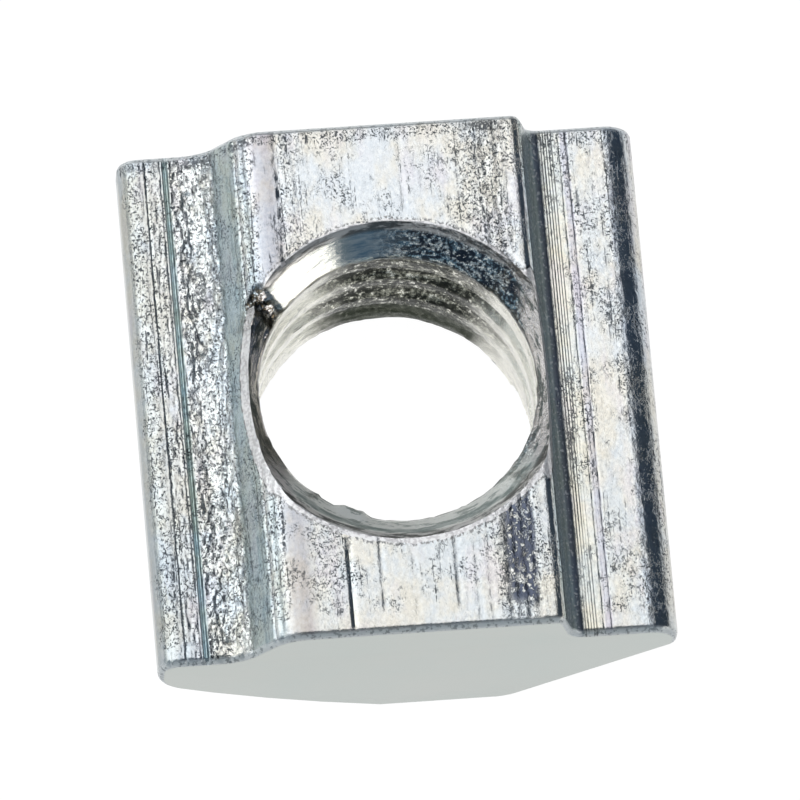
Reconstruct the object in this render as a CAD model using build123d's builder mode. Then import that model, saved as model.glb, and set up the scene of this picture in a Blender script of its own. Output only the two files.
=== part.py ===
"""Slide-in nut for an 8 mm profile slot, M8 thread, cut from cold-drawn steel bar.

The nut is one piece of steel. Its section is drawn the same all along +Y, the
direction in which it slides in the slot. The boss that sits between the slot's
lips is on top, and two wings reach under the lips. The two flanks of the boss
and the two lower corners differ, as the drawing die left them.

Origin: on the thread's axis, in the plane of the flat underside. +Z is up
through the boss, +X is across the slot. Lengths are in millimetres.
"""

from build123d import *
from math import sqrt
import os

# The whole bar and the two sheared ends
length = 12.9
front_end = 6.35            # from the thread's axis to the front end
half_width = 6.2
height = 5.4
end_round = 0.2             # the softened edge around both ends

# The boss, a little to the right of the thread's axis, and the height of its two steps
boss_top_width = 6.67
boss_to_left = 3.25
left_step = 1.35
right_step = 1.15
left_flank_run = 1.0        # how far each flank leans out on its way down
right_flank_run = 0.28
left_shoulder_round = 1.0
right_shoulder_round = 0.25
left_foot_round = 0.85
right_foot_round = 0.35

# The wings' outer edges: how deep the upright side is, and its upper round
left_side_depth = 1.55
right_side_depth = 1.1
left_edge_round = 0.5
right_edge_round = 0.7

# The underside: a flat to rest on, a plain bevel up to its right, and to its left
# a softer, slightly bulged slope that ends in a big round corner
rest_to_left = 0.8
rest_to_right = 2.3
right_bevel_round = 0.8     # where the bevel leaves the flat
right_corner_round = 0.3
left_slope_bulge = 0.2
left_corner_round = 1.0

# Two right-angled grooves that the die drew all along the left wing: one in its top,
# one low on the boss's flank. Each is so far from the thread's axis and so deep.
wing_groove_to_left = 5.05
wing_groove_depth = 0.09
flank_groove_to_left = 3.88
flank_groove_depth = 0.05

# The M8 thread, here at the size of its tapping drill, and its two countersinks
tapping_drill_radius = 3.4
top_countersink_radius = 4.0
bottom_countersink_radius = 3.9
countersink_angle = 90

# Corners of the section, from the lower left round over the top
boss_to_right = boss_top_width - boss_to_left
left_wing_top = height - left_step
right_wing_top = height - right_step

left_corner = (-half_width, left_wing_top - left_side_depth)
left_edge = (-half_width, left_wing_top)
left_foot = (-boss_to_left - left_flank_run, left_wing_top)
left_shoulder = (-boss_to_left, height)
right_shoulder = (boss_to_right, height)
right_foot = (boss_to_right + right_flank_run, right_wing_top)
right_edge = (half_width, right_wing_top)
right_corner = (half_width, right_wing_top - right_side_depth)
bevel_start = (rest_to_right, 0)
slope_start = (-rest_to_left, 0)

# The flank's height where its groove is
left_flank_slope = left_step / left_flank_run
flank_groove_height = height - (flank_groove_to_left - boss_to_left) * left_flank_slope

grooves = [
    ((-wing_groove_to_left, left_wing_top), wing_groove_depth),
    ((-flank_groove_to_left, flank_groove_height), flank_groove_depth),
]

rounded_corners = [
    (left_corner, left_corner_round),
    (left_edge, left_edge_round),
    (left_foot, left_foot_round),
    (left_shoulder, left_shoulder_round),
    (right_shoulder, right_shoulder_round),
    (right_foot, right_foot_round),
    (right_edge, right_edge_round),
    (right_corner, right_corner_round),
    (bevel_start, right_bevel_round),
]

with BuildPart() as t_slot_nut:
    # The drawn section, from the front end to the back end
    with BuildSketch(Plane.XZ.offset(front_end)) as section:
        with BuildLine():
            Polyline(
                left_corner,
                left_edge,
                left_foot,
                left_shoulder,
                right_shoulder,
                right_foot,
                right_edge,
                right_corner,
                bevel_start,
                slope_start,
            )
            SagittaArc(slope_start, left_corner, left_slope_bulge)
        make_face()
        for corner, radius in rounded_corners:
            fillet(section.vertices().sort_by_distance(corner)[0], radius)
    extrude(amount=-length)

    # Both sheared ends, softened all round
    fillet(t_slot_nut.faces().filter_by(Axis.Y).edges(), end_round)

    # The drawn grooves, from end to end, each by a square that stands on its corner
    with BuildSketch(Plane.XZ.offset(front_end)):
        for place, depth in grooves:
            with Locations(place):
                Rectangle(depth * sqrt(2), depth * sqrt(2), rotation=45)
    extrude(amount=-length, mode=Mode.SUBTRACT)

    # The drilled hole with a countersink at each mouth. They are wider than the
    # boss, so the upper one runs out through both flanks.
    with Locations((0, 0, height)):
        CounterSinkHole(
            radius=tapping_drill_radius,
            counter_sink_radius=top_countersink_radius,
            counter_sink_angle=countersink_angle,
        )
    with Locations(Plane.XY.rotated((180, 0, 0))):
        CounterSinkHole(
            radius=tapping_drill_radius,
            counter_sink_radius=bottom_countersink_radius,
            counter_sink_angle=countersink_angle,
        )

t_slot_nut.part.label = "t_slot_nut"

os.makedirs("parts", exist_ok=True)
export_step(t_slot_nut.part, "parts/t_slot_nut.step")
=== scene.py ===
"""Slide-in T slot nut in bright zinc-plated steel.

The nut is modelled in millimetres, as on a bench: a slab of bar is sawn, its boss
raised and its edges rounded. Then the threaded hole is cut, the drawn skin roughened
and the hole's rim torn. It is brought to metres at the end, around the frame's origin.
"""

import math
from types import SimpleNamespace

import bmesh
import bpy
from mathutils import Matrix, Vector, kdtree, noise


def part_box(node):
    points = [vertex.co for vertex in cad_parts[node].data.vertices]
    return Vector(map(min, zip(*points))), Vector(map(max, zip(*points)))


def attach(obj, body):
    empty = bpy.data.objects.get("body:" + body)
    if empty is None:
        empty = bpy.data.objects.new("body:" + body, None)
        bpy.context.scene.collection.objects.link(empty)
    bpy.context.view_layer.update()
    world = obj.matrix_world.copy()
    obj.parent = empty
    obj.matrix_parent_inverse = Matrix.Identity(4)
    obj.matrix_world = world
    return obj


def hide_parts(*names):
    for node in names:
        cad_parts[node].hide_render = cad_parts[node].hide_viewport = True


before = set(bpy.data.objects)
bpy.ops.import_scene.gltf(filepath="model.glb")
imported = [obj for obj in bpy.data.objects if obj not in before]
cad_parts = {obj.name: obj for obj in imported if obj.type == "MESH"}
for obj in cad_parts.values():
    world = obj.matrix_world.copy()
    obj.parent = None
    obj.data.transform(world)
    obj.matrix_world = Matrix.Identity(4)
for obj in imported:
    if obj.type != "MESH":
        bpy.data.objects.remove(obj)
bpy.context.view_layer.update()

NODE = "t_slot_nut"
METRES_TO_MM = 1000.0
low, high = (METRES_TO_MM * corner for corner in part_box(NODE))
LENGTH = high.y - low.y
MIDDLE_Y = (high.y + low.y) / 2
HALF_WIDTH = high.x
HEIGHT = high.z

# The section, in millimetres, with the boss's steps and flanks
BOSS_TO_LEFT = 3.25
BOSS_TO_RIGHT = 3.42
LEFT_STEP = 1.35
RIGHT_STEP = 1.15
LEFT_FLANK_RUN = 1.0
RIGHT_FLANK_RUN = 0.28
LEFT_SIDE_DEPTH = 1.55
RIGHT_SIDE_DEPTH = 1.1
REST_LEFT = -0.8
REST_RIGHT = 2.3
SLOPE_BULGE = 0.2
SLOPE_STEPS = 4

LEFT_WING_TOP = HEIGHT - LEFT_STEP
RIGHT_WING_TOP = HEIGHT - RIGHT_STEP
LEFT_FOOT = -BOSS_TO_LEFT - LEFT_FLANK_RUN
RIGHT_FOOT = BOSS_TO_RIGHT + RIGHT_FLANK_RUN
LEFT_CORNER = LEFT_WING_TOP - LEFT_SIDE_DEPTH
RIGHT_CORNER = RIGHT_WING_TOP - RIGHT_SIDE_DEPTH

# The section's corners in turn from the left: x, z, radius of the rounding, faces across it
ROUNDED_CORNERS = (
    (-HALF_WIDTH, LEFT_CORNER, 1.0, 8),
    (-HALF_WIDTH, LEFT_WING_TOP, 0.5, 8),
    (LEFT_FOOT, LEFT_WING_TOP, 0.85, 8),
    (-BOSS_TO_LEFT, HEIGHT, 1.0, 8),
    (BOSS_TO_RIGHT, HEIGHT, 0.25, 6),
    (RIGHT_FOOT, RIGHT_WING_TOP, 0.35, 4),
    (HALF_WIDTH, RIGHT_WING_TOP, 0.7, 10),
    (HALF_WIDTH, RIGHT_CORNER, 0.3, 4),
    (REST_RIGHT, 0, 0.8, 4),
)
END_ROUND = 0.2
END_FACES = 5

# The hole and its thread, which is of M8's pitch but shallow
CREST_RADIUS = 3.33
ROOT_RADIUS = 3.58
PITCH = 1.25
CREST_SHARE = 0.36       # of the pitch
FLANK_LEAN = 40          # degrees between a flank and the plane across the axis
TURNS = 8
TOOTH_CUTS = 4
TAP_OVERSHOOT = 0.6      # how far the tap stands out of the bar at both ends
TOP_SINK_RADIUS = 4.02
UNDER_SINK_RADIUS = 3.9
SINK_LIP = 0.035
THIN_WALL = 0.12         # what is left between the hole and the flanks
THREAD_TOP = 4.7
THREAD_BOTTOM = 0.6
THREAD_RUN_OUT = 0.7
HOLE_STEPS = 180
RING_DEPTH = 0.03
CHATTER_DEPTH = 0.02

# How finely the skin is divided
FINELY_LINED = ((-5.66, -4.95), (4.02, 4.72))   # strips of fine drawn lines, from x to x
LINE_GRAIN = 0.022
TOP_GRAIN = 0.044        # how finely the upper side is divided across the bar
LOWER_GRAIN = 0.35
LONG_CUTS = 12           # and along it, cut twice over
SKIN_REACH = 0.047       # a corner this near to the bar's grid is on its skin
CRUMPLE_DEPTH = 0.065

# Tolerances, in millimetres
NEAR = 1e-3
VERY_NEAR = 1e-4
CUT_TOLERANCE = 1e-5


def deselect_all():
    """Nothing is selected, so that the next operator acts on its own piece alone."""
    bpy.ops.object.select_all(action="DESELECT")


def open_for_editing(piece):
    """The piece alone is selected and in edit mode."""
    deselect_all()
    piece.select_set(True)
    bpy.context.view_layer.objects.active = piece
    bpy.ops.object.mode_set(mode="EDIT")


def close_editing():
    """Back from edit mode to whole pieces."""
    bpy.ops.object.mode_set(mode="OBJECT")


def pick(piece, mode, wanted):
    """Selects the edges, faces or vertices, as the mode says, that are wanted."""
    shape = bmesh.from_edit_mesh(piece.data)
    bpy.ops.mesh.select_mode(type=mode)
    bpy.ops.mesh.select_all(action="DESELECT")
    for part in {"EDGE": shape.edges, "FACE": shape.faces, "VERT": shape.verts}[mode]:
        if wanted(part):
            part.select_set(True)
    shape.select_flush_mode()
    bmesh.update_edit_mesh(piece.data)


def middle_of(edge):
    """The place halfway along an edge."""
    start, end = (corner.co for corner in edge.verts)
    return (start + end) / 2


def is_long(edge):
    """Whether an edge runs along the bar."""
    start, end = (corner.co for corner in edge.verts)
    return abs(end.y - start.y) > 2 * END_ROUND


def faces_along(face):
    """Whether a face looks along the bar, as its ends do."""
    return abs(face.normal.y) > 0.99


def cut_through(place, outward, clear=True):
    """Cuts the piece along a plane, and clears away what is outward of it if asked."""
    bpy.ops.mesh.select_all(action="SELECT")
    bpy.ops.mesh.bisect(
        plane_co=place,
        plane_no=outward,
        clear_outer=clear,
        use_fill=clear,
        threshold=CUT_TOLERANCE,
    )


def saw_off(start, end):
    """Cuts away what lies below the line from start to end, both (x, z), along the whole bar."""
    outward = Vector((end[1] - start[1], 0, start[0] - end[0])).normalized()
    cut_through((start[0], 0, start[1]), outward)


def score(x):
    """Marks a line along the whole bar at x."""
    cut_through((x, 0, 0), (1, 0, 0), clear=False)


def bulged_slope():
    """Points (x, z) of the shallow arc from the flat underside up to the left corner."""
    start, end = Vector((REST_LEFT, 0)), Vector((-HALF_WIDTH, LEFT_CORNER))
    chord = end - start
    outward = Vector((chord.y, -chord.x)).normalized()
    if outward.y > 0:
        outward.negate()
    points = []
    for step in range(SLOPE_STEPS + 1):
        share = step / SLOPE_STEPS
        points.append(start + share * chord + 4 * SLOPE_BULGE * share * (1 - share) * outward)
    return points


def saw_and_raise(bar):
    """Saws the lower corners off the slab, and raises the boss with its two flanks."""
    slope = bulged_slope()
    for start, end in zip(slope, slope[1:]):
        saw_off(end, start)
    saw_off((REST_RIGHT, 0), (HALF_WIDTH, RIGHT_CORNER))

    score(LEFT_FOOT)
    score(RIGHT_FOOT)
    pick(
        bar,
        "FACE",
        lambda face: face.normal.z > 0.9
        and LEFT_FOOT < face.calc_center_median().x < RIGHT_FOOT,
    )
    bpy.ops.mesh.extrude_region_move(TRANSFORM_OT_translate={"value": (0, 0, RIGHT_STEP)})
    pick(bar, "VERT", lambda corner: corner.co.z > HEIGHT - NEAR and corner.co.x < 0)
    bpy.ops.transform.translate(value=(LEFT_FLANK_RUN, 0, 0))
    pick(bar, "VERT", lambda corner: corner.co.z > HEIGHT - NEAR and corner.co.x > 0)
    bpy.ops.transform.translate(value=(-RIGHT_FLANK_RUN, 0, 0))
    pick(
        bar,
        "VERT",
        lambda corner: abs(corner.co.z - RIGHT_WING_TOP) < NEAR
        and corner.co.x < LEFT_FOOT + NEAR,
    )
    bpy.ops.transform.translate(value=(0, 0, LEFT_WING_TOP - RIGHT_WING_TOP))
    for start, end in FINELY_LINED:
        score(start)
        score(end)


def round_selected(width, faces):
    """Rounds the selected edges over so wide a strip, with so many faces."""
    bpy.ops.mesh.bevel(
        offset=width,
        offset_type="OFFSET",
        segments=faces,
        profile=0.5,
        affect="EDGES",
        clamp_overlap=False,
    )


def round_section(bar):
    """Rounds the long edges as the drawing die left them."""
    path = [bulged_slope()[-2]]
    path += [Vector((x, z)) for x, z, _, _ in ROUNDED_CORNERS]
    path.append(Vector((REST_LEFT, 0)))
    for before, (x, z, radius, faces), after in zip(path, ROUNDED_CORNERS, path[2:]):
        corner = Vector((x, z))
        turn = (corner - before).angle(after - corner)
        pick(
            bar,
            "EDGE",
            lambda edge: is_long(edge) and (middle_of(edge).xz - corner).length < NEAR,
        )
        round_selected(radius * math.tan(turn / 2), faces)


def round_ends(bar):
    """Makes each sheared end one face, and softens the edge all round it."""
    pick(bar, "FACE", faces_along)
    bpy.ops.mesh.dissolve_faces()
    pick(bar, "FACE", faces_along)
    bpy.ops.mesh.region_to_loop()
    round_selected(END_ROUND, END_FACES)


def strips(piece, y):
    """The (start, end) places of the section's edges that cross the bar's side at y."""
    shape = bmesh.from_edit_mesh(piece.data)
    crossing = []
    for edge in shape.edges:
        start, end = (corner.co for corner in edge.verts)
        if abs(start.y - y) < VERY_NEAR and abs(end.y - y) < VERY_NEAR:
            crossing.append((start.copy(), end.copy()))
    return crossing


def grain_across(start, end):
    """How wide faces are across a strip of the skin."""
    if min(start.z, end.z) <= RIGHT_CORNER:
        return LOWER_GRAIN
    middle_x = (start.x + end.x) / 2
    if any(first < middle_x < last for first, last in FINELY_LINED):
        return LINE_GRAIN
    return TOP_GRAIN


def divide(bar):
    """Divides the bar's skin finely enough to take its rough surface."""
    for start, end in strips(bar, low.y + END_ROUND):
        cuts = math.ceil((end - start).length / grain_across(start, end)) - 1
        if cuts > 0:
            strip = (start + end) / 2
            pick(bar, "EDGE", lambda edge: (middle_of(edge) - strip).length < VERY_NEAR)
            bpy.ops.mesh.loop_multi_select(ring=True)
            bpy.ops.mesh.subdivide(number_cuts=cuts)
    for _ in range(2):
        pick(bar, "EDGE", is_long)
        bpy.ops.mesh.subdivide(number_cuts=LONG_CUTS)


def make_bar():
    """The drawn bar, cut to length, as one skin of small faces."""
    bpy.ops.mesh.primitive_cube_add(
        size=1,
        location=(0, MIDDLE_Y, RIGHT_WING_TOP / 2),
        scale=(2 * HALF_WIDTH, LENGTH, RIGHT_WING_TOP),
    )
    bar = bpy.context.active_object
    bar.name = "zinc_plated_nut"
    bpy.ops.object.transform_apply(location=True, rotation=True, scale=True)
    open_for_editing(bar)
    saw_and_raise(bar)
    round_section(bar)
    round_ends(bar)
    divide(bar)
    close_editing()
    return bar


def smooth_step(share):
    """The share from 0 to 1, with a soft start and a soft end."""
    return share * share * (3 - 2 * share)


def within(value, start, end, fade):
    """1 inside start to end, falling smoothly to 0 over the fade beyond each."""
    rise = min(max((value - start) / fade + 1, 0), 1)
    fall = min(max((end - value) / fade + 1, 0), 1)
    return smooth_step(min(rise, fall))


def rough(place, across, along, seed=0.0):
    """Smooth noise from -1 to 1, with so many lumps per millimetre across and along the bar."""
    return noise.noise(Vector((place.x * across + seed, place.y * along, place.z * across)))


def ridged(place, across, along, seed):
    """Sharp creases between lumps, from -1 in a crease to 0."""
    broad = -1 + min(1, 2.5 * abs(rough(place, across, along, seed)))
    fine = -1 + min(1, 2.5 * abs(rough(place, 2.1 * across, 2.1 * along, seed + 7)))
    return 0.65 * broad + 0.35 * fine


# Lines that the die drew: x, y from, y to, depth, half width, raggedness
DRAWN_LINES = (
    (-5.91, -6.3, 6.5, 0.018, 0.030, 0.9),
    (-5.53, -6.3, 6.5, 0.026, 0.024, 0.5),
    (-5.40, -6.3, 6.5, 0.005, 0.018, 0.9),
    (-5.28, -6.3, 6.5, 0.006, 0.018, 0.9),
    (-5.17, -6.3, 6.5, 0.016, 0.018, 0.4),
    (-5.05, -6.4, 6.6, 0.090, 0.050, 0.1),
    (-4.95, -6.3, 6.5, 0.010, 0.016, 0.6),
    (-3.97, -6.3, 6.5, 0.020, 0.030, 0.9),
    (-3.62, -6.3, 6.5, 0.025, 0.030, 0.9),
    (-3.45, -6.3, 6.5, 0.040, 0.026, 0.6),
    (-3.28, -6.3, 6.5, 0.030, 0.026, 0.7),
    (-3.05, -6.3, 6.5, 0.020, 0.026, 0.8),
    (-2.45, 2.8, 6.4, 0.050, 0.035, 0.9),
    (-2.05, 3.6, 6.4, 0.010, 0.025, 0.9),
    (-1.70, 4.2, 6.4, 0.010, 0.025, 0.9),
    (-0.85, 4.3, 6.0, 0.008, 0.025, 0.9),
    (0.50, 4.3, 6.1, 0.012, 0.025, 0.9),
    (1.00, 4.3, 5.6, 0.008, 0.025, 0.9),
    (2.52, 3.0, 6.2, 0.020, 0.030, 0.9),
    (2.78, 2.8, 6.2, 0.020, 0.030, 0.9),
    (3.02, 2.6, 6.2, 0.020, 0.030, 0.9),
    (-1.55, -6.1, -4.1, 0.050, 0.035, 0.3),
    (-0.80, -5.6, -4.0, 0.022, 0.025, 0.6),
    (-0.05, -5.8, -4.2, 0.015, 0.025, 0.9),
    (1.00, -5.7, -4.1, 0.035, 0.030, 0.5),
    (1.17, -6.0, -4.5, 0.015, 0.025, 0.9),
    (1.45, -6.0, -4.2, 0.015, 0.025, 0.9),
    (1.75, -6.0, -4.2, 0.018, 0.025, 0.9),
    (2.20, -6.0, -3.0, 0.030, 0.030, 0.8),
    (2.40, -6.0, -3.2, 0.030, 0.030, 0.8),
    (2.62, -6.0, -3.2, 0.035, 0.030, 0.8),
    (2.84, -6.0, -3.0, 0.030, 0.030, 0.8),
    (3.40, -6.3, 6.5, 0.010, 0.025, 0.8),
    (3.90, -6.3, 6.5, 0.012, 0.020, 0.3),
    (4.06, -6.3, 6.5, 0.008, 0.014, 0.3),
    (4.12, -6.3, 6.5, 0.009, 0.014, 0.3),
    (4.18, -6.3, 6.5, 0.008, 0.014, 0.4),
    (4.25, -6.3, 6.5, 0.005, 0.014, 0.6),
    (4.42, -6.3, 6.5, 0.011, 0.017, 0.7),
    (4.49, -6.3, 6.5, 0.004, 0.014, 0.7),
    (4.61, -6.3, 6.5, 0.011, 0.017, 0.7),
)


def line_depth(place):
    """How deep the drawn lines are at a place on the bar."""
    depth = 0.0
    for x, start, end, deepest, half_width, raggedness in DRAWN_LINES:
        if abs(place.x - x) > 5 * half_width:
            continue
        wander = noise.noise(Vector((x * 3, place.y * 1.3, 0)))
        jitter = noise.noise(Vector((x * 5, place.y * 9, 3)))
        offset = place.x - x - 1.1 * half_width * raggedness * (wander + 1.5 * jitter)
        break_up = 0.5 + 1.4 * noise.noise(Vector((x * 7, place.y * 4, 9)))
        strength = max(1 - raggedness * min(1, break_up), 0)
        profile = math.exp(-((offset / half_width) ** 2))
        depth += deepest * strength * profile * within(place.y, start, end, 0.3)
    return depth


def crumple(place):
    """How strongly the skin is crumpled at a place on the upper side, 0 to 1."""
    x, y = place.x, place.y
    return max(
        within(x, -4.9, -4.0, 0.12) * (0.8 + 0.2 * within(abs(y), 2.5, 7, 1.5)),
        0.10 * within(x, -5.85, -5.6, 0.05),
        0.28 * within(x, -5.5, -5.2, 0.06),
        0.22 * within(x, -3.55, -3.0, 0.1),
        0.05 * within(x, -3.0, 3.4, 0.2),
        0.12 * within(x, -2.6, -1.9, 0.3) * within(y, 2.5, 6.4, 0.5),
        0.32 * within(x, 2.1, 2.85, 0.15) * within(y, -6.0, -3.0, 0.4),
        0.25 * within(x, 2.3, 2.9, 0.15) * within(y, 2.6, 6.0, 0.4),
        0.03 * within(x, 3.9, 5.4, 0.1),
        0.15 * within(x, 5.45, 5.95, 0.1),
        0.12 * within(y, 6.1, 6.4, 0.1),
    )


def relief(place, normal):
    """How far the skin stands off the drawn form, in millimetres."""
    grain = 0.0015 * rough(place, 5, 3) + 0.001 * rough(place, 12, 8, 3.0)
    if normal.z < 0.05 or abs(normal.y) > 0.9:
        return 0.5 * grain
    crumpled = 0.3 + ridged(place, 5.5, 4.0, 11.0) + 0.5 * rough(place, 11, 8, 5.0)
    raised = min(grain + CRUMPLE_DEPTH * crumple(place) * crumpled, HEIGHT - place.z)
    return raised - line_depth(place)


def remember_skin(bar):
    """The places of the bar's skin, for finding the nearest, and the normals there."""
    skin = kdtree.KDTree(len(bar.data.vertices))
    normals = []
    for corner in bar.data.vertices:
        skin.insert(corner.co, corner.index)
        normals.append(corner.normal.copy())
    skin.balance()
    return skin, normals


def roughen(nut, skin, normals):
    """Presses the drawn lines and the crumpled grain into what is left of the bar's skin."""
    for corner in nut.data.vertices:
        _, nearest, distance = skin.find(corner.co)
        if distance < SKIN_REACH:
            normal = normals[nearest]
            corner.co += relief(corner.co, normal) * normal


def draw_teeth():
    """The tap's outline beside its axis: one tooth after another, upwards."""
    bpy.ops.mesh.primitive_plane_add(size=1)
    tap = bpy.context.active_object
    open_for_editing(tap)
    bpy.ops.mesh.select_mode(type="VERT")
    bpy.ops.mesh.select_all(action="SELECT")
    bpy.ops.mesh.merge(type="CENTER")
    bpy.ops.transform.translate(value=(CREST_RADIUS, 0, -2 * PITCH))
    depth = ROOT_RADIUS - CREST_RADIUS
    flank = depth * math.tan(math.radians(FLANK_LEAN))
    crest = CREST_SHARE * PITCH
    root = PITCH - crest - 2 * flank
    tooth = ((0, crest), (depth, flank), (0, root), (-depth, flank))
    for across, along in tooth * TURNS:
        bpy.ops.mesh.extrude_region_move(TRANSFORM_OT_translate={"value": (across, 0, along)})
    bpy.ops.mesh.select_all(action="SELECT")
    bpy.ops.mesh.subdivide(number_cuts=TOOTH_CUTS)
    close_editing()
    return tap


def turn_teeth(tap):
    """Turns the teeth up a helix, and closes the tap above and below the bar."""
    turn = tap.modifiers.new("turn", "SCREW")
    turn.axis = "Z"
    turn.screw_offset = PITCH
    turn.steps = turn.render_steps = HOLE_STEPS
    bpy.ops.object.modifier_apply(modifier=turn.name)
    open_for_editing(tap)
    bpy.ops.mesh.select_all(action="SELECT")
    bpy.ops.mesh.remove_doubles(threshold=NEAR)
    cut_through((0, 0, -TAP_OVERSHOOT), (0, 0, -1))
    cut_through((0, 0, HEIGHT + TAP_OVERSHOOT), (0, 0, 1))
    bpy.ops.mesh.select_all(action="SELECT")
    bpy.ops.mesh.normals_make_consistent(inside=False)
    close_editing()


def make_tap():
    """The tap that cuts the hole, with its worn thread and both countersinks."""
    tap = draw_teeth()
    turn_teeth(tap)
    roughen_tap(tap)
    keep_inside_flanks(tap)
    open_countersinks(tap)
    return tap


def roughen_tap(tap):
    """Wears the thread, fades it out at both ends, and gives it rings and chatter."""
    for corner in tap.data.vertices:
        place = corner.co
        radius = place.xy.length
        angle = math.atan2(place.y, place.x)
        climb = place.z - PITCH * angle / math.tau
        from_top = (THREAD_TOP - place.z) / THREAD_RUN_OUT
        from_bottom = (place.z - THREAD_BOTTOM) / THREAD_RUN_OUT
        cut = smooth_step(min(max(min(from_top, from_bottom), 0), 1))
        kept = cut * (0.6 + 0.5 * noise.noise(place * 0.8))
        ringed = RING_DEPTH * noise.noise(Vector((9 * climb, 1.2 * angle, 0)))
        chatter = CHATTER_DEPTH * (noise.noise(place * 4) + noise.noise(place * 10))
        worked = CREST_RADIUS + kept * (radius - CREST_RADIUS) + ringed + chatter
        place.xy *= worked / radius


def keep_inside_flanks(tap):
    """Squeezes the tap so that it leaves a thin wall where the boss is narrow."""
    for corner in tap.data.vertices:
        place = corner.co
        down = min(max(HEIGHT - place.z, 0), RIGHT_STEP)
        right_wall = BOSS_TO_RIGHT + RIGHT_FLANK_RUN * down / RIGHT_STEP - THIN_WALL
        if place.z > RIGHT_WING_TOP - THIN_WALL:
            place.x = min(place.x, max(right_wall, CREST_RADIUS))


def open_countersinks(tap):
    """Widens the tap at both ends to the 45 degree cones of the countersinks."""
    for corner in tap.data.vertices:
        place = corner.co
        radius = place.xy.length
        lip = SINK_LIP * (math.exp(min(place.z - HEIGHT, 0) / SINK_LIP) - 1)
        opened = max(
            TOP_SINK_RADIUS + place.z - HEIGHT + lip,
            UNDER_SINK_RADIUS - place.z,
            radius,
        )
        place.xy *= opened / radius


def cut_hole(bar, tap):
    """Cuts the tap's form out of the bar, and puts the tap away."""
    deselect_all()
    bpy.context.view_layer.objects.active = bar
    cut = bar.modifiers.new("cut", "BOOLEAN")
    cut.operation = "DIFFERENCE"
    cut.solver = "EXACT"
    cut.object = tap
    bpy.ops.object.modifier_apply(modifier=cut.name)
    bpy.data.objects.remove(tap)


# Where the rim is torn or burred: angle from +X in degrees, its spread, the radius it
# reaches out to, then how far the metal is pushed outwards, upwards, and how raggedly,
# in millimetres, and how dark it is
RIM_FAULTS = (
    (144, 5, 4.0, 0.08, -0.12, 0.05, 1.0),
    (152, 6, 4.0, 0.02, 0.00, 0.04, 0.4),
    (32, 6, 4.0, 0.03, -0.03, 0.04, 0.3),
    (42, 5, 4.0, 0.03, -0.04, 0.03, 0.4),
    (-43, 4, 3.9, 0.00, 0.03, 0.04, 0.4),
    (-114, 8, 3.4, -0.12, 0.02, 0.01, 0.0),
    (-131, 3, 3.5, -0.04, -0.02, 0.02, 0.5),
)
RIM_INSIDE = 3.25        # radius from which the rim is fully torn
RIM_OUTSIDE = 4.5        # and the largest that is looked at
RIM_FOOT = 4.3           # the lowest height that is looked at
RIM_TEAR_FOOT = 4.75     # and that from which it is fully torn
RIM_FADE_ACROSS = 0.2
RIM_FADE_DOWN = 0.25
RIM_SEED = 1             # unseeded vector noise differs from run to run


def tear_rim(nut):
    """Tears and burrs the rim where the countersink breaks out of the boss.

    The vertex attribute "torn" says how dark the torn metal is.
    """
    noise.seed_set(RIM_SEED)
    torn_dark = nut.data.attributes.new("torn", "FLOAT", "POINT")
    for corner in nut.data.vertices:
        place = corner.co
        radius = place.xy.length
        if radius > RIM_OUTSIDE or place.z < RIM_FOOT:
            continue
        angle = math.degrees(math.atan2(place.y, place.x))
        nearness = within(place.z, RIM_TEAR_FOOT, HEIGHT, RIM_FADE_DOWN)
        for middle, spread, reach, out, up, ragged, darkness in RIM_FAULTS:
            off = (angle - middle + 180) % 360 - 180
            share = nearness * within(off, -0.5 * spread, 0.5 * spread, 0.5 * spread)
            share *= within(radius, RIM_INSIDE, reach, RIM_FADE_ACROSS)
            if share > 0:
                torn = ragged * noise.noise_vector(place * 6 + Vector((middle, 0, 0)))
                radial = Vector((place.x, place.y, 0)) / radius
                corner.co += share * (out * radial + Vector((0, 0, up)) + torn)
                torn_dark.data[corner.index].value += share * darkness


def stay_in_box(nut):
    """Nothing of the rough surface stands out of the nut's overall size."""
    for corner in nut.data.vertices:
        for axis in range(3):
            corner.co[axis] = min(max(corner.co[axis], low[axis]), high[axis])


def new_finish(name):
    """A bare metal, its node tree and its shader."""
    material = bpy.data.materials.new(name)
    material.use_nodes = True
    tree = material.node_tree
    shader = tree.nodes["Principled BSDF"]
    shader.inputs["Metallic"].default_value = 1.0
    return material, tree, shader


def add_node(tree, kind, settings=None, **inputs):
    """A node with its settings made, and its named inputs set or joined."""
    made = tree.nodes.new("ShaderNode" + kind)
    for name, value in (settings or {}).items():
        setattr(made, name, value)
    for name, value in inputs.items():
        fill(tree, made.inputs[name.replace("_", " ")], value)
    return made


def fill(tree, socket, value):
    """Joins the value to the socket if it is another node's output, or sets it."""
    if isinstance(value, bpy.types.NodeSocket):
        tree.links.new(value, socket)
    elif socket.type == "RGBA":
        socket.default_value = (*value, 1)
    else:
        socket.default_value = value


def calculate(tree, operation, first, *others):
    """A Math node's result, or that of a chain of them when there are more values."""
    for other in others or (None,):
        made = add_node(tree, "Math", {"operation": operation})
        fill(tree, made.inputs[0], first)
        if other is not None:
            fill(tree, made.inputs[1], other)
        first = made.outputs[0]
    return first


def times(tree, *values):
    """The product of the values."""
    return calculate(tree, "MULTIPLY", *values)


def plus(tree, *values):
    """The sum of the values."""
    return calculate(tree, "ADD", *values)


def minus(tree, first, second):
    """The first value less the second."""
    return calculate(tree, "SUBTRACT", first, second)


def largest(tree, *values):
    """The largest of the values."""
    return calculate(tree, "MAXIMUM", *values)


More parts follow.
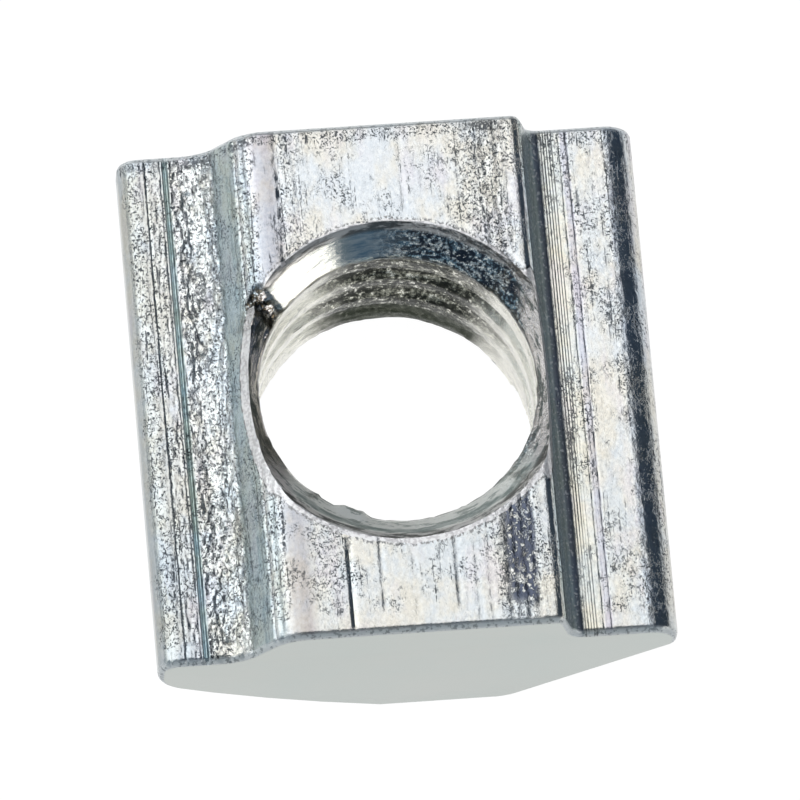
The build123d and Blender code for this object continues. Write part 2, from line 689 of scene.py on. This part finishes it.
def in_millimetres(tree, across=1.0, along=1.0):
    """Object coordinates in millimetres, drawn out along the bar where along is under 1."""
    place = add_node(tree, "TexCoord").outputs["Object"]
    scale = (METRES_TO_MM * across, METRES_TO_MM * along, METRES_TO_MM * across)
    return add_node(tree, "Mapping", Vector=place, Scale=scale).outputs[0]


def drawn_round(tree, place, share):
    """The place with its distances across the hole cut to a share, so that noise forms rings."""
    return add_node(tree, "Mapping", Vector=place, Scale=(share, share, 1.0)).outputs[0]


def coordinates(tree, place):
    """The place's x, y and z."""
    parts = add_node(tree, "SeparateXYZ", Vector=place)
    return (parts.outputs[axis] for axis in "XYZ")


def lumps(tree, place, scale, detail=2.0, roughness=0.5, distortion=0.0):
    """Noise from 0 to 1, mostly near 0.5, with so many lumps per millimetre."""
    made = add_node(
        tree,
        "TexNoise",
        Vector=place,
        Scale=scale,
        Detail=detail,
        Roughness=roughness,
        Distortion=distortion,
    )
    return made.outputs["Fac"]


def unevenness(tree, place, scale, detail):
    """Noise about 0."""
    return minus(tree, lumps(tree, place, scale, detail=detail), 0.5)


def ramp(tree, value, start, end):
    """0 at start, 1 at end, smoothly between; start may be the larger."""
    made = add_node(
        tree,
        "MapRange",
        {"interpolation_type": "SMOOTHSTEP"},
        Value=value,
        From_Min=min(start, end),
        From_Max=max(start, end),
        To_Min=0.0 if start < end else 1.0,
        To_Max=1.0 if start < end else 0.0,
    )
    return made.outputs[0]


def straight_ramp(tree, value, start, end, first=0.0, last=1.0):
    """First at start, last at end, and straight between."""
    made = add_node(
        tree,
        "MapRange",
        Value=value,
        From_Min=start,
        From_Max=end,
        To_Min=first,
        To_Max=last,
    )
    return made.outputs[0]


def band(tree, value, start, full_from, full_to, end):
    """1 from full_from to full_to, falling smoothly to 0 at start and at end."""
    return times(tree, ramp(tree, value, start, full_from), ramp(tree, value, end, full_to))


def creases(tree, place, scale, width):
    """1 along thin wandering creases, 0 elsewhere."""
    lump = lumps(tree, place, scale, detail=3.0, roughness=0.55, distortion=0.4)
    from_middle = calculate(tree, "ABSOLUTE", minus(tree, lump, 0.5))
    return ramp(tree, from_middle, width, 0.0)


def colour_mix(tree, share, first, second, blend="MIX"):
    """The first colour where share is 0, and where it is 1 the second, or both multiplied."""
    made = add_node(tree, "Mix", {"data_type": "RGBA", "blend_type": blend}, Factor=share)
    fill(tree, made.inputs[6], first)
    fill(tree, made.inputs[7], second)
    return made.outputs[2]


def across_bar(tree, x, stops):
    """A colour that is led through (x in millimetres, colour) stops."""
    share = straight_ramp(tree, x, -HALF_WIDTH, HALF_WIDTH)
    made = add_node(tree, "ValToRGB", Fac=share)
    elements = made.color_ramp.elements
    while len(elements) < len(stops):
        elements.new(0.5)
    for element, (place, colour) in zip(elements, stops):
        element.position = (place + HALF_WIDTH) / (2 * HALF_WIDTH)
        element.color = (*colour, 1)
    return made.outputs["Color"]


def add_bump(tree, shader, height, depth, strength=1.0):
    """Bumps the shader's surface by the height, over a depth in millimetres."""
    bump = add_node(
        tree, "Bump", Height=height, Strength=strength, Distance=depth / METRES_TO_MM
    )
    fill(tree, shader.inputs["Normal"], bump.outputs[0])


# Tone of the drawn skin across the bar, with painted shade in its darker, bluer bands on the two
# flanks, the rounded edges, the boss's left corner, the deep drawn line and the fillet at the right
# flank's foot: x in millimetres, then red, green, blue
SKIN_TONES_AND_SHADE = (
    (-6.20, (0.56, 0.59, 0.59)),
    (-6.05, (0.70, 0.73, 0.74)),
    (-5.90, (0.76, 0.79, 0.81)),
    (-5.15, (0.88, 0.89, 0.90)),
    (-5.11, (0.53, 0.64, 0.67)),
    (-5.00, (0.53, 0.64, 0.67)),
    (-4.96, (0.97, 0.98, 0.99)),
    (-4.02, (0.94, 0.96, 0.97)),
    (-3.94, (0.58, 0.67, 0.69)),
    (-3.52, (0.58, 0.67, 0.69)),
    (-3.42, (0.90, 0.92, 0.93)),
    (-3.26, (0.70, 0.77, 0.81)),
    (-3.10, (0.86, 0.86, 0.88)),
    (-2.95, (0.66, 0.64, 0.66)),
    (-2.60, (0.68, 0.66, 0.68)),
    (-2.35, (0.94, 0.94, 0.93)),
    (3.36, (0.94, 0.94, 0.93)),
    (3.46, (0.64, 0.76, 0.79)),
    (3.72, (0.64, 0.76, 0.79)),
    (3.80, (0.34, 0.38, 0.46)),
    (3.89, (0.34, 0.38, 0.46)),
    (3.93, (0.97, 0.96, 0.89)),
    (4.42, (0.97, 0.96, 0.91)),
    (4.46, (0.82, 0.80, 0.85)),
    (4.60, (0.82, 0.80, 0.85)),
    (4.64, (0.96, 0.95, 0.92)),
    (5.42, (0.96, 0.96, 0.95)),
    (5.54, (0.82, 0.86, 0.92)),
    (5.98, (0.72, 0.76, 0.80)),
    (6.08, (0.84, 0.85, 0.85)),
)

# How ragged the drawn skin is across the bar: x in millimetres, then 0 to 1
SKIN_RAGGEDNESS = (
    (-6.12, 0.0), (-6.0, 0.85), (-5.70, 0.85), (-5.62, 0.3), (-5.54, 0.9), (-5.46, 0.4),
    (-5.17, 0.7), (-5.09, 0.1), (-5.0, 0.5), (-4.9, 1.0), (-4.0, 1.0), (-3.9, 0.45),
    (-3.6, 0.45), (-3.48, 0.9), (-3.1, 0.75), (-2.95, 0.2), (-2.6, 0.3), (-2.4, 0.6),
    (-1.8, 0.3), (0.0, 0.15), (1.8, 0.3), (2.3, 0.95), (2.85, 0.9), (3.1, 0.35),
    (3.45, 0.4), (3.55, 0.1), (3.85, 0.1), (3.95, 0.3), (4.7, 0.25), (5.3, 0.3),
    (5.5, 0.7), (5.8, 0.5),
)

# Bands of the drawn skin, in millimetres: where each starts, is full from and to, and ends
FAR_EDGE_ALONG = (high.y - 0.47, high.y - 0.33, high.y - 0.2, high.y - 0.1)
NAVY_ACROSS = (2.0, 2.3, 2.8, 2.95)
NAVY_ALONG = (-6.1, -5.6, -3.2, -2.2)
STRIPED_ACROSS = (3.94, 3.97, 4.24, 4.28)
FLANK_ACROSS = (3.42, 3.5, 3.8, 3.92)
STRIPE_SPACING = 0.066

# Colours of the drawn skin
PALE_BLUE = (0.665, 0.70, 0.735)
PALE_CREAM = (0.73, 0.70, 0.635)
LAVENDER = (0.70, 0.66, 0.71)
# Painted shade for the dimples, and a painted highlight for the peaks
DIMPLE_SHADE_BLUE = (0.13, 0.155, 0.19)
PEAK_HIGHLIGHT_WHITE = (0.86, 0.86, 0.84)
NEARER_TONE = (0.94, 0.94, 0.93)
# Painted shade for the creases and drawn lines
CREASE_SHADE_BLACK = (0.025, 0.033, 0.045)
CREASE_SHADE_NAVY = (0.03, 0.045, 0.09)
# Painted reflection for the rolled ends: pale highlights on a dark grey band
ROLLED_HIGHLIGHT_PALE = (0.80, 0.83, 0.83)
ROLLED_REFLECTION_GREY = (0.30, 0.33, 0.34)
FLANK_GLINT = (0.95, 0.97, 0.97)
BURR_WHITE = (0.98, 0.96, 0.95)
BURR_GREY = (0.72, 0.69, 0.69)
BURR_LINE = (0.24, 0.24, 0.24)


def map_skin(tree):
    """Where the parts of the drawn skin are, and the stretched places its noise is made at."""
    plain = in_millimetres(tree)
    drawn = in_millimetres(tree, along=0.6)
    x, y, z = coordinates(tree, plain)
    wander = times(tree, unevenness(tree, drawn, 2.5, detail=3.0), 0.10)
    wandering_x = plus(tree, x, wander)
    from_middle = calculate(tree, "ABSOLUTE", minus(tree, y, MIDDLE_Y))
    grey_stops = [(place, (value,) * 3) for place, value in SKIN_RAGGEDNESS]
    return SimpleNamespace(
        plain=plain,
        drawn=drawn,
        leathery=in_millimetres(tree, along=0.85),
        streaked=in_millimetres(tree, along=0.03),
        x=x,
        y=y,
        z=z,
        wandering_x=wandering_x,
        ragged=across_bar(tree, wandering_x, grey_stops),
        rolled=ramp(
            tree, from_middle, LENGTH / 2 - 0.9 * END_ROUND, LENGTH / 2 - 0.3 * END_ROUND
        ),
        far_edge=band(tree, y, *FAR_EDGE_ALONG),
        near_edge=ramp(tree, y, low.y + 0.6, low.y + 0.4),
        navy=times(
            tree, band(tree, wandering_x, *NAVY_ACROSS), band(tree, y, *NAVY_ALONG)
        ),
        striped=band(tree, x, *STRIPED_ACROSS),
        flank=band(tree, x, *FLANK_ACROSS),
        speck=lumps(tree, plain, 12.0, detail=3.0),
        dotted=ramp(tree, lumps(tree, drawn, 15.0, detail=2.0), 0.44, 0.56),
    )


def shade_presence(tree, skin):
    """How thickly the dark marks of painted shade lie: in clusters, and more so where the skin is
    ragged.
    """
    clusters = lumps(tree, skin.drawn, 1.3, detail=5.0, roughness=0.65)
    return plus(
        tree,
        clusters,
        times(tree, skin.ragged, 0.3),
        times(tree, skin.far_edge, 0.2),
        times(tree, skin.navy, 0.2),
        times(tree, skin.rolled, -0.3),
        times(tree, skin.near_edge, -0.15),
    )


def shaded_creases(tree, skin, presence):
    """Painted shade in the creases: short dark squiggles and specks, thick creases where they
    crowd, and navy blots.
    """
    leathery = skin.leathery
    broken = ramp(tree, lumps(tree, leathery, 10.0, detail=3.0), 0.45, 0.55)
    squiggles = times(tree, creases(tree, leathery, 8.5, 0.035), broken)
    specks = ramp(tree, lumps(tree, leathery, 17.0, detail=1.0), 0.62, 0.68)
    fine = times(tree, largest(tree, squiggles, specks), ramp(tree, presence, 0.55, 0.72))
    thick = times(tree, creases(tree, leathery, 7.0, 0.13), ramp(tree, presence, 0.80, 1.0))
    blots = ramp(tree, lumps(tree, leathery, 7.5, detail=3.0), 0.47, 0.52)
    return largest(tree, fine, thick, times(tree, blots, skin.navy))


def shaded_lines(tree, skin, presence):
    """Painted shade in the drawn lines: thin dotted lines along the bar, and even stripes at the
    foot of the right flank.
    """
    thin_lines = ramp(tree, lumps(tree, skin.streaked, 13.0, detail=2.0), 0.60, 0.66)
    lines = times(tree, thin_lines, skin.dotted, ramp(tree, presence, 0.5, 0.7))
    waves = calculate(tree, "SINE", times(tree, skin.x, math.tau / STRIPE_SPACING))
    unbroken = ramp(tree, lumps(tree, skin.streaked, 5.0), 0.36, 0.5)
    stripes = times(tree, skin.striped, ramp(tree, waves, 0.35, 0.75), unbroken, 0.75)
    return largest(tree, lines, stripes)


def pastel_skin(tree, skin):
    """The skin without its dark marks, which are painted shade: clouded pastels, with painted shade
    in dark dimples and painted highlights on bright peaks and patches.
    """
    clouds = lumps(tree, skin.drawn, 0.9, detail=4.0, roughness=0.65)
    small_clouds = lumps(tree, in_millimetres(tree, across=1.3, along=0.5), 1.1, detail=4.0)
    blue_or_cream = colour_mix(tree, ramp(tree, clouds, 0.38, 0.62), PALE_BLUE, PALE_CREAM)
    lavender = times(tree, ramp(tree, small_clouds, 0.5, 0.7), 0.6)
    clouded = colour_mix(tree, lavender, blue_or_cream, LAVENDER)

    # Painted shade darkens the dimples, and painted highlights whiten the peaks and patches
    dimpled = lumps(tree, skin.leathery, 11.0, detail=3.0, roughness=0.6)
    dimple_share = plus(tree, times(tree, skin.ragged, 0.23), 0.05)
    dimples = times(tree, ramp(tree, dimpled, 0.52, 0.62), dimple_share)
    dimple_shaded_colour = colour_mix(tree, dimples, clouded, DIMPLE_SHADE_BLUE)
    patches = ramp(tree, lumps(tree, skin.drawn, 2.4, detail=3.0), 0.48, 0.58)
    peaks = largest(
        tree,
        times(tree, ramp(tree, dimpled, 0.46, 0.38), 0.35),
        times(tree, patches, skin.ragged, 0.75),
    )
    highlighted = colour_mix(tree, peaks, dimple_shaded_colour, PEAK_HIGHLIGHT_WHITE)

    # Painted shade lies in the darker, bluer stops of the colours across the bar
    tone_and_shade = across_bar(tree, skin.wandering_x, SKIN_TONES_AND_SHADE)
    toned = colour_mix(tree, 1.0, highlighted, tone_and_shade, blend="MULTIPLY")
    nearness = ramp(tree, skin.y, 0.5, -3.5)
    return colour_mix(tree, nearness, toned, NEARER_TONE, blend="MULTIPLY")


def rim_burr(tree, skin):
    """Where the countersink has raised a pale burr on the skin, and the line that bounds it."""
    radius = calculate(
        tree, "SQRT", plus(tree, times(tree, skin.x, skin.x), times(tree, skin.y, skin.y))
    )
    narrow_side = largest(
        tree, ramp(tree, skin.x, -3.0, -3.4), ramp(tree, skin.x, 3.2, 3.4)
    )
    past_rim = plus(
        tree,
        minus(tree, radius, skin.z),
        HEIGHT - TOP_SINK_RADIUS,
        times(tree, unevenness(tree, skin.plain, 3.0, detail=3.0), 0.2),
        times(tree, narrow_side, -0.25),
        times(tree, ramp(tree, skin.y, 1.0, 2.5), 0.07),
    )
    return ramp(tree, past_rim, 0.13, 0.10), band(tree, past_rim, 0.10, 0.13, 0.15, 0.20)


def drawn_zinc():
    """Bright zinc on the drawn skin: pastel, with painted shade in thin dark creases along the bar.
    """
    material, tree, shader = new_finish("drawn_zinc")
    skin = map_skin(tree)
    presence = shade_presence(tree, skin)
    # The dark marks are painted shade in the creases and the drawn lines
    marks = largest(
        tree, shaded_creases(tree, skin, presence), shaded_lines(tree, skin, presence)
    )
    burr, burr_line = rim_burr(tree, skin)

    # Painted reflection on the rolled ends: a dark grey band with pale painted highlights
    rolled = colour_mix(tree, ramp(tree, skin.speck, 0.53, 0.62), ROLLED_HIGHLIGHT_PALE, ROLLED_REFLECTION_GREY)
    ground = colour_mix(
        tree, times(tree, skin.rolled, 0.8), pastel_skin(tree, skin), rolled
    )
    crease_shade_colour = colour_mix(tree, skin.navy, CREASE_SHADE_BLACK, CREASE_SHADE_NAVY)
    crease_shaded = colour_mix(tree, times(tree, marks, 0.9), ground, crease_shade_colour)
    glints = times(tree, ramp(tree, skin.speck, 0.56, 0.64), skin.flank, 0.7)
    glinting = colour_mix(tree, glints, crease_shaded, FLANK_GLINT)
    burr_colour = colour_mix(tree, ramp(tree, skin.speck, 0.46, 0.56), BURR_WHITE, BURR_GREY)
    burred = colour_mix(tree, burr, glinting, burr_colour)
    outlined = colour_mix(tree, times(tree, burr_line, skin.dotted), burred, BURR_LINE)
    fill(tree, shader.inputs["Base Color"], torn_metal(tree, skin.plain, outlined))

    satin = largest(
        tree,
        times(tree, largest(tree, skin.flank, burr), 0.6),
        times(tree, skin.rolled, 0.8),
    )
    fill(tree, shader.inputs["Metallic"], minus(tree, 1.0, satin))
    gloss = lumps(tree, skin.streaked, 9.0)
    fill(tree, shader.inputs["Roughness"], plus(
        tree, straight_ramp(tree, gloss, 0, 1, 0.15, 0.22), times(tree, skin.rolled, 0.15)
    ))

    grain = lumps(tree, skin.leathery, 9.0, detail=4.0, roughness=0.65)
    height = plus(
        tree,
        times(tree, grain, plus(tree, times(tree, skin.ragged, 0.6), 0.2)),
        times(tree, gloss, 0.03),
        times(tree, marks, -0.4),
    )
    add_bump(tree, shader, height, 0.02)
    return material


SHEARED_GREEN = (0.525, 0.57, 0.55)
SHEARED_GREY = (0.565, 0.58, 0.555)


def sheared_zinc():
    """The sheared ends: satin, pale and a little green, with a fine grain."""
    material, tree, shader = new_finish("sheared_zinc")
    plain = in_millimetres(tree)
    cloud = lumps(tree, plain, 0.5, detail=3.0)
    fill(tree, shader.inputs["Base Color"], colour_mix(tree, cloud, SHEARED_GREEN, SHEARED_GREY))
    shader.inputs["Roughness"].default_value = 0.42
    add_bump(tree, shader, lumps(tree, plain, 14.0, detail=3.0), 0.004, strength=0.5)
    return material


TORN_BLACK = (0.02, 0.018, 0.014)
TORN_BROWN = (0.20, 0.16, 0.11)


def torn_metal(tree, place, colour):
    """The colour, but black and brown in specks where the rim is torn."""
    torn = add_node(tree, "Attribute", {"attribute_name": "torn"}).outputs["Fac"]
    speck = lumps(tree, place, 11.0, detail=4.0, roughness=0.7)
    brown = ramp(tree, lumps(tree, place, 16.0), 0.5, 0.6)
    soot = colour_mix(tree, brown, TORN_BLACK, TORN_BROWN)
    return colour_mix(tree, times(tree, torn, ramp(tree, speck, 0.40, 0.52)), colour, soot)


# Colours of the tapped hole
WALL_WHITE = (0.93, 0.93, 0.89)
WALL_CREAM = (0.96, 0.94, 0.85)
SCORE_GREY = (0.40, 0.395, 0.36)
# Painted shade for the far and lower wall of the hole
WALL_SHADE_GREY = (0.33, 0.335, 0.29)
WALL_SHADE_BLACK = (0.035, 0.038, 0.033)
DEEP_SHADE_OLIVE = (0.046, 0.054, 0.04)
EDGE_BLACK = (0.05, 0.055, 0.045)


def tapped_zinc():
    """The tapped hole: creamy zinc with rings of tool marks, with painted shade and cream painted
    glints on its far side, darker still lower down.
    """
    material, tree, shader = new_finish("tapped_zinc")
    plain = in_millimetres(tree)
    x, y, z = coordinates(tree, plain)
    rings = lumps(tree, drawn_round(tree, plain, 0.12), 5.0, detail=6.0, roughness=0.8)
    speck = lumps(tree, plain, 7.0, detail=5.0, roughness=0.75)

    cream = colour_mix(tree, lumps(tree, plain, 0.8), WALL_WHITE, WALL_CREAM)
    ring_lines = plus(tree, rings, times(tree, minus(tree, speck, 0.5), 0.3))
    scores = times(tree, ramp(tree, ring_lines, 0.56, 0.62), 0.5)
    near_wall = colour_mix(tree, scores, cream, SCORE_GREY)

    # Painted shade on the far side: a dimmed grey and near-black specks, leaving cream specks as
    # painted glints, and olive lower down in the hole
    shaded_with_glints = colour_mix(tree, ramp(tree, speck, 0.36, 0.42), cream, WALL_SHADE_GREY)
    ringed_speck = plus(tree, speck, times(tree, minus(tree, rings, 0.5), 0.7))
    speckled_shade = colour_mix(tree, ramp(tree, ringed_speck, 0.43, 0.53), shaded_with_glints, WALL_SHADE_BLACK)
    deep_shade = times(tree, ramp(tree, z, 2.0, 0.9), 0.85)
    shaded_far_wall = colour_mix(tree, deep_shade, speckled_shade, DEEP_SHADE_OLIVE)

    depth = plus(
        tree, times(tree, x, 0.17), times(tree, y, 0.985), unevenness(tree, plain, 1.2, detail=3.0)
    )
    wall = colour_mix(tree, ramp(tree, depth, 2.3, 3.1), near_wall, shaded_far_wall)
    edge_line = times(tree, ramp(tree, z, THREAD_TOP - 0.14, THREAD_TOP - 0.04), 0.6)
    edged = colour_mix(tree, edge_line, wall, EDGE_BLACK)
    fill(tree, shader.inputs["Base Color"], torn_metal(tree, plain, edged))
    shader.inputs["Roughness"].default_value = 0.2
    add_bump(tree, shader, plus(tree, speck, times(tree, rings, 1.5)), 0.022)
    return material


# Colours of the countersinks, and where their greenish band lies
SINK_SILVER = (0.78, 0.80, 0.80)
SINK_BLUE = (0.29, 0.43, 0.53)
SINK_CREAM = (0.83, 0.81, 0.75)
PIT_BLUE = (0.03, 0.045, 0.07)
GLINT_WHITE = (0.95, 0.95, 0.92)
# Painted reflection for the near side of the countersinks: white and grey streaks, and a darker
# greenish band
STREAK_REFLECTION_WHITE = (1.0, 1.0, 0.95)
STREAK_REFLECTION_GREY = (0.46, 0.49, 0.46)
BAND_REFLECTION_GREEN = (0.20, 0.26, 0.25)
SCUFF_PINK = (0.80, 0.75, 0.74)
SCUFF_GREY = (0.19, 0.205, 0.20)
LIP_PINK = (0.75, 0.71, 0.68)
LIP_BLACK = (0.12, 0.11, 0.10)
INNER_BLACK = (0.04, 0.045, 0.04)
GREEN_BAND_HEIGHT = (5.05, 5.12, 5.2, 5.25)


def pitted_sink(tree, x, turned, pits, glints):
    """The far side of a countersink: silver and cream on its left, blue and pitted on its right."""
    blue = colour_mix(tree, ramp(tree, turned, 0.40, 0.60), SINK_SILVER, SINK_BLUE)
    clean = colour_mix(tree, ramp(tree, x, -0.6, -1.2), blue, SINK_CREAM)
    pitted = colour_mix(tree, pits, clean, PIT_BLUE)
    return colour_mix(tree, glints, pitted, GLINT_WHITE)


def streaky_sink(tree, plain, z, turned):
    """The near side of a countersink: a painted reflection, pale and streaky, with a darker
    greenish band.
    """
    streaky = colour_mix(tree, ramp(tree, turned, 0.49, 0.57), STREAK_REFLECTION_WHITE, STREAK_REFLECTION_GREY)
    uneven_z = plus(tree, z, times(tree, unevenness(tree, plain, 1.5, detail=2.0), 0.3))
    green = times(tree, band(tree, uneven_z, *GREEN_BAND_HEIGHT), 0.55)
    return colour_mix(tree, green, streaky, BAND_REFLECTION_GREEN)


def countersunk_zinc():
    """The countersinks: a turned band, polished in places, dull on its near side."""
    material, tree, shader = new_finish("countersunk_zinc")
    plain = in_millimetres(tree)
    x, y, z = coordinates(tree, plain)
    near_side = ramp(tree, y, -1.2, -2.6)
    pitted_side = ramp(tree, x, -0.6, 0.8)
    scuffed_side = largest(tree, ramp(tree, x, -2.6, -3.0), ramp(tree, x, 2.9, 3.25))
    lip = ramp(tree, z, HEIGHT - 0.18, HEIGHT - 0.10)
    turned = lumps(tree, drawn_round(tree, plain, 0.15), 9.0, detail=5.0, roughness=0.7)
    speck = lumps(tree, plain, 10.0, detail=4.0, roughness=0.7)

    from_spot = add_node(tree, "TexVoronoi", Vector=plain, Scale=1.6).outputs["Distance"]
    small_pits = times(tree, ramp(tree, speck, 0.46, 0.53), pitted_side)
    round_pits = times(tree, ramp(tree, from_spot, 0.32, 0.25), pitted_side)
    pits = largest(tree, small_pits, round_pits)
    glints = times(tree, ramp(tree, speck, 0.41, 0.38), pitted_side)
    turned_colour = colour_mix(
        tree,
        near_side,
        pitted_sink(tree, x, turned, pits, glints),
        streaky_sink(tree, plain, z, turned),
    )
    scuffed = colour_mix(tree, ramp(tree, turned, 0.50, 0.57), SCUFF_PINK, SCUFF_GREY)
    sides = colour_mix(tree, scuffed_side, turned_colour, scuffed)
    lip_colour = colour_mix(tree, ramp(tree, turned, 0.44, 0.56), LIP_PINK, LIP_BLACK)
    lipped = colour_mix(tree, times(tree, lip, 0.85), sides, lip_colour)
    inner_line = times(tree, ramp(tree, z, THREAD_TOP + 0.09, THREAD_TOP + 0.03), 0.8)
    edged = colour_mix(tree, inner_line, lipped, INNER_BLACK)
    fill(tree, shader.inputs["Base Color"], torn_metal(tree, plain, edged))

    duller = largest(tree, near_side, times(tree, lip, 0.6), glints)
    fill(tree, shader.inputs["Metallic"], plus(tree, times(tree, duller, -0.6), 1.0))
    fill(tree, shader.inputs["Roughness"], straight_ramp(tree, duller, 0, 1, 0.07, 0.32))
    add_bump(tree, shader, plus(tree, times(tree, speck, pitted_side, 3.0), turned), 0.01)
    return material


# Which faces get which finish: how near they lie, in millimetres, and how squarely they face
END_REACH = 0.15
END_FACING = 0.985
CONE_REACH = 0.03
CONE_FACING = 0.3
THREAD_REACH = 0.02
THREAD_FACING = 0.1


def finish_faces(nut):
    """Gives skin, sheared ends, thread and countersinks their own finish."""
    nut.data.materials.clear()
    for material in (drawn_zinc(), sheared_zinc(), tapped_zinc(), countersunk_zinc()):
        nut.data.materials.append(material)
    drawn, sheared, tapped, countersunk = range(4)
    for face in nut.data.polygons:
        radius = face.center.xy.length
        above_cone = TOP_SINK_RADIUS + face.center.z - HEIGHT - radius
        below_cone = UNDER_SINK_RADIUS - face.center.z - radius
        inward = -face.normal.xy.dot(face.center.xy) / radius
        at_end = abs(face.center.y) > LENGTH / 2 - END_REACH
        face.material_index = drawn
        if at_end and abs(face.normal.y) > END_FACING:
            face.material_index = sheared
        elif max(above_cone, below_cone) > -CONE_REACH and inward > CONE_FACING:
            face.material_index = countersunk
        elif radius < ROOT_RADIUS + THREAD_REACH and inward > THREAD_FACING:
            face.material_index = tapped


def bring_to_metres(piece):
    """Shrinks the millimetre model to its true size in metres, and smooths its shading."""
    deselect_all()
    piece.select_set(True)
    bpy.context.view_layer.objects.active = piece
    piece.scale = (1 / METRES_TO_MM,) * 3
    bpy.ops.object.transform_apply(location=True, rotation=True, scale=True)
    bpy.ops.object.shade_smooth_by_angle(angle=math.radians(40))


def make_floor():
    """A floor that is white to the eye and in mirrors, and takes a soft, faint shadow."""
    bpy.ops.mesh.primitive_plane_add(size=4)
    floor = bpy.context.active_object
    floor.name = "floor"
    material = bpy.data.materials.new("pale_floor")
    material.use_nodes = True
    tree = material.node_tree
    tree.nodes.clear()
    light_path = add_node(tree, "LightPath")
    seen = plus(tree, *(
        light_path.outputs[ray]
        for ray in ("Is Camera Ray", "Is Glossy Ray", "Is Transmission Ray")
    ))
    share = add_node(tree, "Math", {"operation": "MULTIPLY", "use_clamp": True})
    fill(tree, share.inputs[0], seen)
    fill(tree, share.inputs[1], 0.9)
    paint = add_node(tree, "BsdfDiffuse", Color=(0.8, 0.8, 0.8))
    white = add_node(tree, "Emission", Color=(1, 1, 1), Strength=1.10)
    mix = add_node(tree, "MixShader", Fac=share.outputs[0])
    fill(tree, mix.inputs[1], paint.outputs[0])
    fill(tree, mix.inputs[2], white.outputs[0])
    add_node(tree, "OutputMaterial", Surface=mix.outputs[0])
    floor.data.materials.append(material)


def direction(azimuth, elevation):
    """The unit vector at an azimuth from +X towards +Y and a height above the floor, in degrees."""
    turn, rise = math.radians(azimuth), math.radians(elevation)
    return Vector((
        math.cos(turn) * math.cos(rise),
        math.sin(turn) * math.cos(rise),
        math.sin(rise),
    ))


def add_softbox(name, place, width, depth, radiance, colour=(1, 1, 1)):
    """A rectangular lamp that shines straight down, with the given radiance."""
    lamp = bpy.data.lights.new(name, "AREA")
    lamp.shape = "RECTANGLE"
    lamp.size = width
    lamp.size_y = depth
    lamp.energy = radiance * math.pi * width * depth
    lamp.color = colour
    holder = bpy.data.objects.new(name, lamp)
    bpy.context.scene.collection.objects.link(holder)
    holder.location = place
    return holder


def aim_at_nut(holder):
    """Turns a lamp to face the nut."""
    holder.rotation_euler = (-holder.location).to_track_quat("-Z", "Y").to_euler()


LAMP_DISTANCE = 0.5
ROOM_LEFT = (0.36, 0.42, 0.46)
ROOM_RIGHT = (0.045, 0.062, 0.085)
ROOM_FRONT = (0.13, 0.175, 0.215)


def light_scene():
    """A broad softbox overhead, and two low ones whose reflections whiten the countersink."""
    add_softbox("overhead_softbox", (-0.355, 0.43, 0.5), 0.95, 0.90, 1.3)
    low_right = LAMP_DISTANCE * direction(-36, 12)
    low_left = LAMP_DISTANCE * direction(170, 22)
    aim_at_nut(add_softbox("low_right_softbox", low_right, 0.40, 0.14, 2.0, (1, 0.985, 0.95)))
    aim_at_nut(add_softbox("low_left_softbox", low_left, 0.40, 0.20, 0.7, (1, 0.96, 0.88)))


def surround_with_room():
    """A dim room for the metal to reflect, paler on its left, behind a white background."""
    world = bpy.data.worlds.new("studio")
    bpy.context.scene.world = world
    world.use_nodes = True
    tree = world.node_tree
    tree.nodes.clear()
    place = add_node(tree, "TexCoord").outputs["Generated"]
    x, y, _ = coordinates(tree, place)
    sides = colour_mix(tree, ramp(tree, x, -0.5, 0.15), ROOM_LEFT, ROOM_RIGHT)
    walls = colour_mix(tree, ramp(tree, y, -0.35, -0.8), sides, ROOM_FRONT)
    room = add_node(tree, "Background", Color=walls)
    backdrop = add_node(tree, "Background", Color=(1, 1, 1))
    mix = add_node(tree, "MixShader", Fac=add_node(tree, "LightPath").outputs["Is Camera Ray"])
    fill(tree, mix.inputs[1], room.outputs[0])
    fill(tree, mix.inputs[2], backdrop.outputs[0])
    add_node(tree, "OutputWorld", Surface=mix.outputs[0])


def place_camera():
    """The camera looks down steeply from the near side, a little to the left, its head tilted."""
    azimuth, elevation, roll = -11.47, 70.0, 6.996
    lens, sensor_width = 722.1, 36
    distance, sideways, upwards = 0.38148, -0.00002, 0.00050
    turn, rise, tilt = (math.radians(angle) for angle in (azimuth, elevation, roll))
    away = Vector((
        math.sin(turn) * math.cos(rise),
        -math.cos(turn) * math.cos(rise),
        math.sin(rise),
    ))
    level = Vector((math.cos(turn), math.sin(turn), 0))
    steep = away.cross(level)
    right = level * math.cos(tilt) + steep * math.sin(tilt)
    up = steep * math.cos(tilt) - level * math.sin(tilt)
    lens_data = bpy.data.cameras.new("camera")
    lens_data.lens = lens
    lens_data.sensor_width = sensor_width
    camera = bpy.data.objects.new("camera", lens_data)
    bpy.context.scene.collection.objects.link(camera)
    centre = Vector((0, 0, HEIGHT / METRES_TO_MM)) - sideways * right - upwards * up
    frame_of_view = Matrix((right, up, away)).transposed().to_4x4()
    frame_of_view.translation = centre + distance * away
    camera.matrix_world = frame_of_view
    bpy.context.scene.camera = camera


bpy.context.scene.view_settings.view_transform = "Standard"
nut = make_bar()
skin, normals = remember_skin(nut)
cut_hole(nut, make_tap())
roughen(nut, skin, normals)
finish_faces(nut)
tear_rim(nut)
stay_in_box(nut)
bring_to_metres(nut)
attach(nut, "root")
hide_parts(NODE)
make_floor()
light_scene()
surround_with_room()
place_camera()
